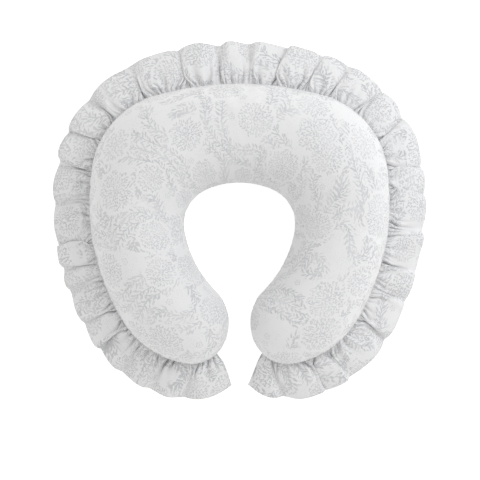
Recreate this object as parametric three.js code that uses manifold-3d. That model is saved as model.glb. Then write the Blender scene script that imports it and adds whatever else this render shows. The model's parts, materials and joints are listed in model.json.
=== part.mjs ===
// Crescent nursing pillow: a removable cover with a gathered ruffle round its outer seam and a
// coil zip tucked under the ruffle at the crest, over a sewn insert filled with fibre.
// Millimetres. +X right, +Y towards the closed crest, +Z up, lying on z = 0.
import * as THREE from 'three';
import { mergeVertices } from 'three/addons/utils/BufferGeometryUtils.js';
import Module from 'manifold-3d';

const manifold = await Module();
manifold.setup();

// ---- cushion, over the cover ----
const CUSHION_WIDTH = 510;
const CUSHION_THICKNESS = 148;
const PLAN = CUSHION_WIDTH / 510;
const WIDEST_HALF = 94 * PLAN;
const SEAM_HEIGHT = 0.44 * CUSHION_THICKNESS;
const ROUNDNESS = (CUSHION_THICKNESS - SEAM_HEIGHT) / WIDEST_HALF;

// Half outlines as tangent arcs [radius, turn in degrees], from the crest round to the lobe tip.
// A positive radius turns right.
const CREST_OUTER_Y = 234 * PLAN;
const CREST_INNER_Y = 63.5 * PLAN;
const CREST_RADIUS = 498 * PLAN;
const OUTER_ARCS = [
  [CREST_RADIUS, 16],
  [160 * PLAN, 65.5],
  [378 * PLAN, 40.5],
  [156 * PLAN, 48.5],
  [60 * PLAN, 56],
];
const INNER_ARCS = [
  [145 * PLAN, 22.5],
  [62 * PLAN, 76.5],
  [188 * PLAN, 36],
  [-77.5 * PLAN, 88],
];
// Where each cross-section starts on the outer outline and ends on the inner one, as shares.
const RIB_ENDS = [
  [0, 0],
  [0.16, 0.165],
  [0.24, 0.199],
  [0.4, 0.254],
  [0.5, 0.317],
  [0.6, 0.399],
  [0.75, 0.573],
  [0.86, 0.66],
  [0.91, 0.76],
  [0.95, 0.87],
  [1, 1],
];

// ---- cloth ----
const COVER_CLOTH = 1;
const CASING_CLOTH = 0.8;
const FIT_GAP = 0.3;
const SEAM_GAP = 0.9;
const CASING_SEAM_GAP = 0.15;
const CASING_INSET = COVER_CLOTH + FIT_GAP;
const FILL_INSET = CASING_INSET + CASING_CLOTH + FIT_GAP;

// ---- ruffle ----
const RUFFLE_REACH = 60;
const RUFFLE_CREST_EXTRA = 9;
const RUFFLE_DROOP = 26;
const RUFFLE_FOLDS = 34;
const RUFFLE_FOLD_RISE = 8;
const RUFFLE_CLOTH = 1.2;
const RUFFLE_END_SWEEP = 27;

// ---- zip, a wall of cloth below the crest's outer seam ----
const ZIP_DROP = 16;
const ZIP_HALF_LENGTH = 121;
const ZIP_OPENING = 16;
const TAPE_SPLIT = 0.3;
const COIL_WIDTH = 2.6;
const COIL_DEPTH = 1.6;
const COIL_LIFT = 0.4;
const STOP_LENGTH = 3;
const SLIDER_LENGTH = 11;
const SLIDER_WIDTH = 9.8;
const SLIDER_REAR_WIDTH = 8.2;
const SLIDER_TOP = 3.4;
const BRIDGE_WIDTH = 2.4;
const PULL_LENGTH = 22;
const PULL_WIDTH = 7.6;
const PULL_THICKNESS = 1.2;
const PULL_AXIS_LIFT = 1.35;

// ---- blank care label, sewn in under the ruffle ----
const LABEL_STATION = 0.52;
const LABEL_LENGTH = 38;
const LABEL_WIDTH = 26;
const LABEL_CLOTH = 0.8;

const cloth = { roughness: 0.92, metalness: 0 };
const MATERIALS = {
  panel: { color: 0xe1e1e3, ...cloth },
  ruffle: { color: 0xdcdcdf, ...cloth },
  casing: { color: 0xf2f1ef, ...cloth },
  fibre: { color: 0xf8f8f6, roughness: 1, metalness: 0 },
  tape: { color: 0xe6e6e8, ...cloth },
  coil: { color: 0xeeeeef, roughness: 0.45, metalness: 0 },
  lacquer: { color: 0xf0f0f0, roughness: 0.3, metalness: 0 },
  label: { color: 0xf7f7f7, roughness: 0.8, metalness: 0 },
};

const radians = THREE.MathUtils.degToRad;
const range = count => Array.from({ length: count + 1 }, (_, i) => i);

// ---------------------------------------------------------------- outline

// Walks a chain of tangent arcs that leaves (0, startY) along +X.
function tracePath(startY, arcs) {
  const lengths = arcs.map(([radius, turn]) => Math.abs(radius) * radians(turn));
  const total = lengths.reduce((sum, length) => sum + length, 0);
  const walk = share => {
    const place = { x: 0, y: startY, heading: 0 };
    let left = share * total;
    arcs.forEach(([radius], i) => {
      const part = Math.min(left, lengths[i]);
      const next = place.heading - part / radius;
      place.x += radius * (Math.sin(place.heading) - Math.sin(next));
      place.y += radius * (Math.cos(next) - Math.cos(place.heading));
      place.heading = next;
      left -= part;
    });
    return place;
  };
  return { total, walk };
}

const outerPath = tracePath(CREST_OUTER_Y, OUTER_ARCS);
const innerPath = tracePath(CREST_INNER_Y, INNER_ARCS);
const outerTip = outerPath.walk(1);
const innerTip = innerPath.walk(1);

// A point of the right half of an outline, moved into the cushion by inset. The two outlines are
// drawn together so that they share one tip.
function edgePoint(path, share, inset, materialSide) {
  const place = path.walk(share);
  const own = path === outerPath ? outerTip : innerTip;
  const other = path === outerPath ? innerTip : outerTip;
  const blend = 0.5 * share * share;
  const x = place.x + blend * (other.x - own.x);
  const y = place.y + blend * (other.y - own.y);
  const normalX = materialSide * Math.sin(place.heading);
  const normalY = -materialSide * Math.cos(place.heading);
  return new THREE.Vector2(x + inset * normalX, y + inset * normalY);
}

function innerShare(share) {
  const last = RIB_ENDS.findIndex(([outer]) => outer >= share);
  const to = RIB_ENDS[Math.max(last, 1)];
  const from = RIB_ENDS[Math.max(last, 1) - 1];
  return from[1] + (to[1] - from[1]) * (share - from[0]) / (to[0] - from[0]);
}

// A rib runs from the outer seam to the inner seam. Station -1 is the left lobe tip, 0 the middle
// of the crest and 1 the right lobe tip.
function ribAt(station, inset) {
  const share = Math.min(Math.abs(station), 1);
  const start = edgePoint(outerPath, share, inset, 1);
  const end = share === 1 ? start.clone() : edgePoint(innerPath, innerShare(share), inset, -1);
  if (station < 0) {
    start.x *= -1;
    end.x *= -1;
  }
  const middle = start.clone().add(end).multiplyScalar(0.5);
  const along = end.clone().sub(start).multiplyScalar(0.5);
  return { start, middle, along, half: along.length() };
}

function ribPoint(rib, angle, z) {
  const spot = rib.middle.clone().addScaledVector(rib.along, -Math.cos(angle));
  return new THREE.Vector3(spot.x, spot.y, z);
}

// Points of a cross-section: angle 0 is the outer seam and pi the inner seam.
function topPoint(station, angle, inset, seamGap) {
  const rib = ribAt(station, inset);
  return ribPoint(rib, angle, SEAM_HEIGHT + seamGap + ROUNDNESS * rib.half * Math.sin(angle));
}

function bottomPoint(station, angle, inset, seamGap) {
  const rib = ribAt(station, inset);
  const sag = SEAM_HEIGHT - seamGap - ROUNDNESS * rib.half * Math.sin(angle);
  return ribPoint(rib, angle, Math.max(inset, sag));
}

// The angle at which the underside has dropped so far below the outer seam.
function dropAngle(station, drop, inset) {
  const depth = ROUNDNESS * ribAt(station, inset).half;
  const eased = drop * Math.min(1, depth / (ROUNDNESS * 72 * PLAN));
  return depth > 0 ? Math.asin(Math.min(1, Math.max(0, eased - SEAM_GAP) / depth)) : 0;
}

function wallPoint(station, drop, inset) {
  return bottomPoint(station, dropAngle(station, drop, inset), inset, SEAM_GAP);
}

// ---------------------------------------------------------------- solids

// One closed surface from four-cornered faces, turned so that it faces out.
function closedSurface(faces) {
  const points = [];
  const triangles = [];
  const known = new Map();
  const corner = point => {
    const key = point.toArray().map(value => Math.round(value * 1000)).join();
    if (!known.has(key)) {
      known.set(key, points.length);
      points.push(point);
    }
    return known.get(key);
  };
  for (const face of faces) {
    const ids = face.map(corner);
    for (let i = 1; i < ids.length - 1; i++) {
      const triangle = [ids[0], ids[i], ids[i + 1]];
      if (new Set(triangle).size === 3) triangles.push(triangle);
    }
  }
  const volume = triangles.reduce((sum, [a, b, c]) => {
    return sum + points[a].dot(points[b].clone().cross(points[c]));
  }, 0);
  if (volume < 0) triangles.forEach(triangle => triangle.reverse());
  const geometry = new THREE.BufferGeometry().setFromPoints(points);
  geometry.setIndex(triangles.flat());
  geometry.computeVertexNormals();
  return geometry;
}

// A sheet of cloth over a grid of columns and rows: face and back give its two sides, and keep
// says which cells are cloth. Every open edge is walled.
function clothSheet(columns, rows, face, back, keep = () => true) {
  const has = (i, j) => i >= 0 && j >= 0 && i < columns && j < rows && keep(i, j);
  const faces = [];
  const wall = (i0, j0, i1, j1) => {
    faces.push([face(i0, j0), back(i0, j0), back(i1, j1), face(i1, j1)]);
  };
  for (let i = 0; i < columns; i++) {
    for (let j = 0; j < rows; j++) {
      if (!has(i, j)) continue;
      faces.push([face(i, j), face(i + 1, j), face(i + 1, j + 1), face(i, j + 1)]);
      faces.push([back(i, j), back(i, j + 1), back(i + 1, j + 1), back(i + 1, j)]);
      if (!has(i, j - 1)) wall(i, j, i + 1, j);
      if (!has(i, j + 1)) wall(i + 1, j + 1, i, j + 1);
      if (!has(i - 1, j)) wall(i, j + 1, i, j);
      if (!has(i + 1, j)) wall(i + 1, j, i + 1, j + 1);
    }
  }
  return closedSurface(faces);
}

// A bar through rings of four corners, closed at both ends.
function bar(rings) {
  const faces = [rings[0], [...rings[rings.length - 1]].reverse()];
  for (let i = 0; i < rings.length - 1; i++) {
    for (let j = 0; j < 4; j++) {
      const k = (j + 1) % 4;
      faces.push([rings[i][k], rings[i][j], rings[i + 1][j], rings[i + 1][k]]);
    }
  }
  return closedSurface(faces);
}

function toSolid(geometry) {
  const bare = new THREE.BufferGeometry();
  bare.setAttribute('position', geometry.getAttribute('position'));
  bare.setIndex(geometry.index);
  const merged = mergeVertices(bare, 1e-4);
  return new manifold.Manifold(new manifold.Mesh({
    numProp: 3,
    vertProperties: new Float32Array(merged.attributes.position.array),
    triVerts: new Uint32Array(merged.index.array),
  }));
}

function fromSolid(solid) {
  const mesh = solid.getMesh();
  const geometry = new THREE.BufferGeometry();
  geometry.setAttribute('position', new THREE.BufferAttribute(mesh.vertProperties, 3));
  geometry.setIndex(new THREE.BufferAttribute(mesh.triVerts, 1));
  geometry.computeVertexNormals();
  return geometry;
}

function outline(points) {
  return new THREE.Shape(points.map(([x, y]) => new THREE.Vector2(x, y)));
}

function plate(shape, from, to) {
  const geometry = new THREE.ExtrudeGeometry(shape, {
    depth: to - from,
    bevelEnabled: false,
    curveSegments: 8,
  });
  return geometry.translate(0, 0, from);
}

// ---------------------------------------------------------------- cushion

// Stations of the ribs: even along the zip, then even to the lobe, then close round its tip.
const ZIP_END = (ZIP_HALF_LENGTH + 0.7) / outerPath.total;
const rightStations = [
  ...range(5).map(i => ZIP_END * i / 5),
  ...range(11).slice(1).map(i => ZIP_END + (0.8 - ZIP_END) * i / 11),
  ...range(8).slice(1).map(i => 0.8 + 0.2 * i / 8),
];
const STATIONS = [...rightStations.slice(1).reverse().map(share => -share), ...rightStations];
const SPANS = STATIONS.length - 1;
const TOP_ANGLES = [0, 18, 40, 65, 90, 115, 140, 162, 180].map(radians);
const BOTTOM_ANGLES = [0, 8, 18, 38, 56, 75, 105, 124, 142, 161, 180].map(radians);
const ZIP_ROW = 1;

// The first rows of the underside follow the zip opening's two edges.
function bottomRowPoint(station, row, inset, seamGap) {
  if (row === ZIP_ROW || row === ZIP_ROW + 1) {
    const edge = row === ZIP_ROW ? -0.5 : 0.5;
    const angle = dropAngle(station, ZIP_DROP + edge * ZIP_OPENING, inset);
    return bottomPoint(station, angle, inset, seamGap);
  }
  return bottomPoint(station, BOTTOM_ANGLES[row], inset, seamGap);
}

function topShell(inset, thickness, seamGap) {
  const side = depth => (i, j) => topPoint(STATIONS[i], TOP_ANGLES[j], depth, seamGap);
  return clothSheet(SPANS, TOP_ANGLES.length - 1, side(inset), side(inset + thickness));
}

function bottomShell(inset, thickness, seamGap, keep) {
  const side = depth => (i, j) => bottomRowPoint(STATIONS[i], j, depth, seamGap);
  return clothSheet(SPANS, BOTTOM_ANGLES.length - 1, side(inset), side(inset + thickness), keep);
}

const coverTop = () => topShell(0, COVER_CLOTH, SEAM_GAP);

// The lower panel is open where the zip is set in.
function coverBottom() {
  const inZip = i => Math.abs(STATIONS[i] + STATIONS[i + 1]) / 2 < ZIP_END;
  return bottomShell(0, COVER_CLOTH, SEAM_GAP, (i, j) => !(j === ZIP_ROW && inZip(i)));
}

const insertTop = () => topShell(CASING_INSET, CASING_CLOTH, CASING_SEAM_GAP);
const insertBottom = () => bottomShell(CASING_INSET, CASING_CLOTH, CASING_SEAM_GAP);

function fibreFill() {
  const upper = (i, j) => topPoint(STATIONS[i], TOP_ANGLES[j], FILL_INSET, 0);
  const lower = (i, j) => bottomRowPoint(STATIONS[i], j, FILL_INSET, 0);
  const faces = [];
  for (let i = 0; i < SPANS; i++) {
    for (let j = 0; j < TOP_ANGLES.length - 1; j++) {
      faces.push([upper(i, j), upper(i + 1, j), upper(i + 1, j + 1), upper(i, j + 1)]);
    }
    for (let j = 0; j < BOTTOM_ANGLES.length - 1; j++) {
      faces.push([lower(i, j), lower(i, j + 1), lower(i + 1, j + 1), lower(i + 1, j)]);
    }
  }
  return closedSurface(faces);
}

// ---------------------------------------------------------------- ruffle

// Sewn between the two panels, it stands out past the seam, falls towards its hem and waves in
// even folds. It is deepest round the crest, and its ends lean back along the lobe tips.
function rufflePoint(station, across, side) {
  const share = Math.abs(station);
  const hand = station < 0 ? -1 : 1;
  const root = edgePoint(outerPath, share, SEAM_GAP, 1);
  const lean = THREE.MathUtils.smoothstep(share, 0.87, 1) * radians(RUFFLE_END_SWEEP);
  const outward = outerPath.walk(share).heading + Math.PI / 2 + lean;
  const phase = Math.PI * RUFFLE_FOLDS * station;
  const crest = 1 - THREE.MathUtils.smoothstep(share, 0.08, 0.32);
  const full = RUFFLE_REACH + RUFFLE_CREST_EXTRA * crest + SEAM_GAP;
  const reach = full * across * (1 + 0.03 * across * Math.cos(2 * phase));
  const wave = RUFFLE_FOLD_RISE * across * Math.cos(phase);
  const z = SEAM_HEIGHT - RUFFLE_DROOP * across * across + wave + side * RUFFLE_CLOTH / 2;
  return new THREE.Vector3(
    hand * (root.x + reach * Math.cos(outward)),
    root.y + reach * Math.sin(outward),
    z,
  );
}

function ruffle() {
  const columns = RUFFLE_FOLDS * 6;
  const rows = [0, 0.12, 0.55, 1];
  const face = side => (i, j) => rufflePoint(2 * i / columns - 1, rows[j], side);
  return clothSheet(columns, rows.length - 1, face(1), face(-1));
}

// ---------------------------------------------------------------- zip

const zipAngle = dropAngle(0, ZIP_DROP, 0);
const ZIP_LEAN = Math.atan(Math.tan(zipAngle) / ROUNDNESS);
const ZIP_RADIUS = CREST_RADIUS - ribAt(0, 0).half * (1 - Math.cos(zipAngle));
const ZIP_CENTRE_Y = CREST_OUTER_Y - CREST_RADIUS;
const ZIP_HEIGHT = SEAM_HEIGHT - ZIP_DROP;

// A point beside the zip's centre line: along it, up the wall and out from the wall.
function zipPoint(along, up, out) {
  const angle = along / ZIP_RADIUS;
  const radius = ZIP_RADIUS + out * Math.cos(ZIP_LEAN) + up * Math.sin(ZIP_LEAN);
  const z = ZIP_HEIGHT - out * Math.sin(ZIP_LEAN) + up * Math.cos(ZIP_LEAN);
  return new THREE.Vector3(radius * Math.sin(angle), ZIP_CENTRE_Y + radius * Math.cos(angle), z);
}

// The zip's own frame at a place along it: x back along the closed zip, y up, z out.
function zipFrame(along) {
  const angle = along / ZIP_RADIUS;
  const back = new THREE.Vector3(-Math.cos(angle), Math.sin(angle), 0);
  const out = new THREE.Vector3(
    Math.sin(angle) * Math.cos(ZIP_LEAN),
    Math.cos(angle) * Math.cos(ZIP_LEAN),
    -Math.sin(ZIP_LEAN),
  );
  const up = out.clone().cross(back);
  return new THREE.Matrix4().makeBasis(back, up, out).setPosition(zipPoint(along, 0, 0));
}

function zipBar(fromAlong, toAlong, fromUp, toUp, height) {
  const steps = Math.max(1, Math.round((toAlong - fromAlong) / 12));
  return bar(range(steps).map(i => {
    const along = fromAlong + (toAlong - fromAlong) * i / steps;
    return [
      zipPoint(along, fromUp, COIL_LIFT),
      zipPoint(along, toUp, COIL_LIFT),
      zipPoint(along, toUp, COIL_LIFT + height),
      zipPoint(along, fromUp, COIL_LIFT + height),
    ];
  }));
}

// Each tape fills its half of the opening, flush with the panel.
function zipTape(upper) {
  const edge = ZIP_OPENING / 2 - FIT_GAP;
  const drops = upper
    ? [ZIP_DROP - edge, ZIP_DROP - TAPE_SPLIT]
    : [ZIP_DROP + TAPE_SPLIT, ZIP_DROP + edge];
  const end = ZIP_END - FIT_GAP / outerPath.total;
  const side = inset => (i, j) => wallPoint(end * (i - 5) / 5, drops[j], inset);
  return clothSheet(10, 1, side(0), side(COVER_CLOTH));
}

function zipCoil(hand) {
  const end = ZIP_HALF_LENGTH - STOP_LENGTH - FIT_GAP;
  return zipBar(-end, end, hand * 0.15, hand * (0.15 + COIL_WIDTH), COIL_DEPTH);
}

function topStop(hand) {
  const from = ZIP_HALF_LENGTH - STOP_LENGTH;
  return zipBar(from, ZIP_HALF_LENGTH, hand * 0.15, hand * 3.3, 2.1);
}

function bottomStop() {
  return zipBar(-ZIP_HALF_LENGTH, -ZIP_HALF_LENGTH + STOP_LENGTH, -3.3, 3.3, 2.1);
}

const SLIDER_REST = ZIP_HALF_LENGTH - STOP_LENGTH - 0.5 - SLIDER_LENGTH / 2;

// The slider straddles both coils; its bridge holds the pull.
function zipSlider() {
  const half = SLIDER_LENGTH / 2;
  const body = toSolid(plate(outline([
    [-half, -SLIDER_WIDTH / 2 + 1],
    [-half + 1.5, -SLIDER_WIDTH / 2],
    [0, -SLIDER_WIDTH / 2],
    [half - 0.6, -SLIDER_REAR_WIDTH / 2],
    [half, -SLIDER_REAR_WIDTH / 2 + 0.6],
    [half, SLIDER_REAR_WIDTH / 2 - 0.6],
    [half - 0.6, SLIDER_REAR_WIDTH / 2],
    [0, SLIDER_WIDTH / 2],
    [-half + 1.5, SLIDER_WIDTH / 2],
    [-half, SLIDER_WIDTH / 2 - 1],
  ]), 0.5, SLIDER_TOP));
  const channelHalf = 0.15 + COIL_WIDTH + FIT_GAP;
  const channel = toSolid(plate(outline([
    [-half - 1, -channelHalf],
    [half + 1, -channelHalf],
    [half + 1, channelHalf],
    [-half - 1, channelHalf],
  ]), 0, COIL_LIFT + COIL_DEPTH + FIT_GAP));
  const arch = plate(outline([
    [-2.5, -0.3],
    [-1.5, -0.3],
    [-1.5, 2.2],
    [-1, 2.7],
    [1, 2.7],
    [1.5, 2.2],
    [1.5, -0.3],
    [2.5, -0.3],
    [2.5, 2.4],
    [1.4, 3.6],
    [-1.4, 3.6],
    [-2.5, 2.4],
  ]), -BRIDGE_WIDTH / 2, BRIDGE_WIDTH / 2);
  arch.rotateX(Math.PI / 2).translate(0, 0, SLIDER_TOP);
  const whole = body.subtract(channel).add(toSolid(arch));
  return fromSolid(whole).applyMatrix4(zipFrame(SLIDER_REST));
}

// The pull lies back along the closed zip, its eye round the slider's bridge.
function zipPull() {
  const tab = new THREE.Shape();
  const end = PULL_LENGTH - PULL_WIDTH / 2;
  tab.moveTo(-0.7, -3);
  tab.lineTo(4, -3);
  tab.lineTo(7, -2.2);
  tab.lineTo(end, -PULL_WIDTH / 2);
  tab.absarc(end, 0, PULL_WIDTH / 2, -Math.PI / 2, Math.PI / 2, false);
  tab.lineTo(7, 2.2);
  tab.lineTo(4, 3);
  tab.lineTo(-0.7, 3);
  const eye = new THREE.Path();
  eye.moveTo(0.7, -1.7);
  eye.lineTo(0.7, 1.7);
  eye.lineTo(4, 1.7);
  eye.lineTo(4, -1.7);
  tab.holes.push(eye);
  const middle = SLIDER_TOP + PULL_AXIS_LIFT;
  const body = plate(tab, middle - PULL_THICKNESS / 2, middle + PULL_THICKNESS / 2);
  return body.applyMatrix4(zipFrame(SLIDER_REST));
}

// ---------------------------------------------------------------- label

// The blank label hangs down the side wall from the outer seam.
function careLabel() {
  const edge = ZIP_OPENING / 2;
  const drops = [1.7, ZIP_DROP - edge, ZIP_DROP + edge, LABEL_LENGTH];
  const width = LABEL_WIDTH / outerPath.total;
  const start = STATIONS.find(station => station >= LABEL_STATION);
  const side = inset => (i, j) => wallPoint(start + width * i / 2, drops[j], inset);
  return clothSheet(2, drops.length - 1, side(-0.4 - LABEL_CLOTH), side(-0.4));
}

// ---------------------------------------------------------------- assembly

const pillow = new THREE.Group();
pillow.name = 'nursing_pillow';

function addPiece(name, geometry, finish) {
  const mesh = new THREE.Mesh(geometry, new THREE.MeshStandardMaterial(MATERIALS[finish]));
  mesh.name = name;
  pillow.add(mesh);
}

addPiece('fibre_fill', fibreFill(), 'fibre');
addPiece('insert_casing_top', insertTop(), 'casing');
addPiece('insert_casing_bottom', insertBottom(), 'casing');
addPiece('cover_top_panel', coverTop(), 'panel');
addPiece('cover_bottom_panel', coverBottom(), 'panel');
addPiece('ruffle', ruffle(), 'ruffle');
addPiece('zip_tape_upper', zipTape(true), 'tape');
addPiece('zip_tape_lower', zipTape(false), 'tape');
addPiece('zip_coil_upper', zipCoil(1), 'coil');
addPiece('zip_coil_lower', zipCoil(-1), 'coil');
addPiece('zip_top_stop_upper', topStop(1), 'lacquer');
addPiece('zip_top_stop_lower', topStop(-1), 'lacquer');
addPiece('zip_bottom_stop', bottomStop(), 'lacquer');
addPiece('zip_slider', zipSlider(), 'lacquer');
addPiece('zip_pull', zipPull(), 'lacquer');
addPiece('care_label', careLabel(), 'label');

// The part stands with the middle of its box over the origin.
const middle = new THREE.Box3().setFromObject(pillow, true).getCenter(new THREE.Vector3());
pillow.children.forEach(mesh => mesh.geometry.translate(-middle.x, -middle.y, 0));

export default pillow;
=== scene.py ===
"""Looks of a crescent nursing pillow: a printed cotton cover over a fibre-filled insert, with a
gathered ruffle round the outer seam and a coil zip under the ruffle at the crest. Metres."""

import json
import math

import bmesh
import bpy
import numpy as np
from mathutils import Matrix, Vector
from mathutils.bvhtree import BVHTree
from mathutils.interpolate import poly_3d_calc
from mathutils.kdtree import KDTree


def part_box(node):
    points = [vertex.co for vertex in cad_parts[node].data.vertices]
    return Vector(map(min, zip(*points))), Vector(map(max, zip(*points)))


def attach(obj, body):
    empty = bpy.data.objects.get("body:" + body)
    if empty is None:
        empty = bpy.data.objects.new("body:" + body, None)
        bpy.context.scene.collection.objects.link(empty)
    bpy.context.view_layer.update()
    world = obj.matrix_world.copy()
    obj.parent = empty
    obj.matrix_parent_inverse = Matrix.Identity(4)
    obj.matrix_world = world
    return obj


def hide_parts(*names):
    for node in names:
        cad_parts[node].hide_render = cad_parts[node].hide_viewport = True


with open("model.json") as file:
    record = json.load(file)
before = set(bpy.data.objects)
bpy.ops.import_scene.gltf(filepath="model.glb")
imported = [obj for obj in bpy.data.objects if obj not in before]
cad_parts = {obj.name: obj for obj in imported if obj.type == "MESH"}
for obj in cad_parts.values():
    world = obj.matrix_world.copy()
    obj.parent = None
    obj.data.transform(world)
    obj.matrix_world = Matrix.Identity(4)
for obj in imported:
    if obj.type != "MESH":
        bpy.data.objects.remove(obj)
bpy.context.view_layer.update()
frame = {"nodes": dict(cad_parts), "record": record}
scene = bpy.context.scene

panel_low, panel_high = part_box("cover_top_panel")
_, lower_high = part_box("cover_bottom_panel")
SEAM_Z = (panel_low.z + lower_high.z) / 2

# ------------------------------------------------------------------ camera and light

FIELD = 0.8174           # width seen at the height of the outer seam
CAMERA_HEIGHT = 2.4      # above the outer seam
VIEW_OFFSET = (0.0008, -0.0278)     # from the middle of the cushion
SENSOR_WIDTH = 36
STUDIO_COLOUR = (1, 0.992, 0.982, 1)
STUDIO_STRENGTH = 0.91
LAMP_COLOUR = (0.94, 0.975, 1)
LAMP_PLACE = (1.5, 0.9, 1.35)
LAMP_AIM = (0, 0, 0.05)
LAMP_SIZE = 1.0
LAMP_WATTS = 13


def place_camera():
    data = bpy.data.cameras.new("camera")
    data.sensor_width = SENSOR_WIDTH
    data.lens = data.sensor_width * CAMERA_HEIGHT / FIELD
    camera = bpy.data.objects.new("camera", data)
    middle = (panel_low + panel_high) / 2
    camera.location = (middle.x + VIEW_OFFSET[0], middle.y + VIEW_OFFSET[1], SEAM_Z + CAMERA_HEIGHT)
    scene.collection.objects.link(camera)
    scene.camera = camera


def place_lamp():
    data = bpy.data.lights.new("key", "AREA")
    data.shape = "DISK"
    data.size = LAMP_SIZE
    data.energy = LAMP_WATTS
    data.color = LAMP_COLOUR
    lamp = bpy.data.objects.new("key", data)
    lamp.location = LAMP_PLACE
    way = Vector(LAMP_AIM) - Vector(LAMP_PLACE)
    lamp.rotation_euler = way.to_track_quat("-Z", "Y").to_euler()
    scene.collection.objects.link(lamp)


def light_studio():
    scene.view_settings.view_transform = "Standard"
    world = bpy.data.worlds.new("studio")
    world.use_nodes = True
    backdrop = world.node_tree.nodes["Background"]
    backdrop.inputs["Color"].default_value = STUDIO_COLOUR
    backdrop.inputs["Strength"].default_value = STUDIO_STRENGTH
    scene.world = world
    place_lamp()


# ------------------------------------------------------------------ cut of the cushion

# The seams as tangent arcs, each a radius and a turn in degrees, in millimetres, from the middle
# of the crest round to the lobe tip.
OUTER_ARCS = ((498, 16), (160, 65.5), (378, 40.5), (156, 48.5), (60, 56))
INNER_ARCS = ((145, 22.5), (62, 76.5), (188, 36), (-77.5, 88))
CREST_OUTER, CREST_INNER = 234, 63.5
RIB_OUTER = (0, 0.16, 0.24, 0.4, 0.5, 0.6, 0.75, 0.86, 0.91, 0.95, 1)
RIB_INNER = (0, 0.165, 0.199, 0.254, 0.317, 0.399, 0.573, 0.66, 0.76, 0.87, 1)
WIDEST_STATION = 0.28


def walk(start, arcs, shares):
    """Points and headings along a chain of arcs that leaves (0, start) along +X."""
    lengths = [abs(radius) * math.radians(turn) for radius, turn in arcs]
    left = np.asarray(shares, float) * sum(lengths)
    x, y, heading = np.zeros_like(left), np.full_like(left, start), np.zeros_like(left)
    for (radius, _), length in zip(arcs, lengths):
        part = np.minimum(left, length)
        turned = heading - part / radius
        x = x + radius * (np.sin(heading) - np.sin(turned))
        y = y + radius * (np.cos(turned) - np.cos(heading))
        heading, left = turned, left - part
    return np.stack([x, y], -1), heading


outer_tip = walk(CREST_OUTER, OUTER_ARCS, [1.0])[0][0]
inner_tip = walk(CREST_INNER, INNER_ARCS, [1.0])[0][0]
widest_x = walk(CREST_OUTER, OUTER_ARCS, np.linspace(0, 1, 2001))[0][:, 0].max()
SCALE = panel_high.x / widest_x
SHIFT = panel_high.y - CREST_OUTER * SCALE
SEAM_LENGTH = sum(abs(radius) * math.radians(turn) for radius, turn in OUTER_ARCS) * SCALE


def seam_points(stations, inner=False, inset=0.0):
    """Places on a seam and the direction out of the cushion there. Station -1 is the left lobe
    tip, 0 the middle of the crest and 1 the right lobe tip."""
    stations = np.asarray(stations, float)
    shares = np.abs(stations)
    start, arcs = (CREST_INNER, INNER_ARCS) if inner else (CREST_OUTER, OUTER_ARCS)
    if inner:
        shares = np.interp(shares, RIB_OUTER, RIB_INNER)
    points, heading = walk(start, arcs, shares)
    miss = (outer_tip - inner_tip) * (0.5 if inner else -0.5)
    points = (points + miss * (shares ** 2)[:, None]) * SCALE
    points[:, 1] += SHIFT
    side = -1 if inner else 1
    out = np.stack([-np.sin(heading), np.cos(heading)], -1) * side
    hand = np.where(stations < 0, -1.0, 1.0)
    points[:, 0] *= hand
    out[:, 0] *= hand
    return points - out * inset, out


# ------------------------------------------------------------------ mesh helpers

THREAD_SIDES = 6
THREAD_END = 0.4         # thickness of a thread's end over the thickness of its middle


def mesh_object(name, points, faces):
    data = bpy.data.meshes.new(name)
    faces = faces if isinstance(faces, list) else faces.tolist()
    data.from_pydata(np.asarray(points).tolist(), [], faces)
    data.update()
    obj = bpy.data.objects.new(name, data)
    scene.collection.objects.link(obj)
    data.shade_smooth()
    return obj


def coordinates(obj):
    points = np.zeros(len(obj.data.vertices) * 3)
    obj.data.vertices.foreach_get("co", points)
    return points.reshape(-1, 3)


def set_coordinates(obj, points):
    obj.data.vertices.foreach_set("co", np.asarray(points, float).ravel())
    obj.data.update()


def normals_of(obj):
    normals = np.zeros(len(obj.data.vertices) * 3)
    obj.data.vertex_normals.foreach_get("vector", normals)
    return normals.reshape(-1, 3)


def store(obj, name, values):
    """Keeps a vector for each point of a piece, for its material to read."""
    layer = obj.data.attributes.new(name, "FLOAT_VECTOR", "POINT")
    layer.data.foreach_set("vector", np.asarray(values, float).ravel())


def face_outward(obj):
    work = bmesh.new()
    work.from_mesh(obj.data)
    bmesh.ops.recalc_face_normals(work, faces=work.faces)
    work.to_mesh(obj.data)
    work.free()


def apply_modifiers(obj):
    """Makes the evaluated shape the piece's own and drops its modifiers."""
    made = bpy.data.meshes.new_from_object(
        obj.evaluated_get(bpy.context.evaluated_depsgraph_get()))
    obj.modifiers.clear()
    old, obj.data = obj.data, made
    bpy.data.meshes.remove(old)


def grid_faces(columns, rows, wrap=False):
    """Quads of a grid of points stored column by column."""
    i, j = np.meshgrid(np.arange(columns - 1), np.arange(rows if wrap else rows - 1), indexing="ij")
    i, j = i.ravel(), j.ravel()
    k = (j + 1) % rows
    return np.stack([i * rows + j, (i + 1) * rows + j, (i + 1) * rows + k, i * rows + k], -1)


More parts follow.
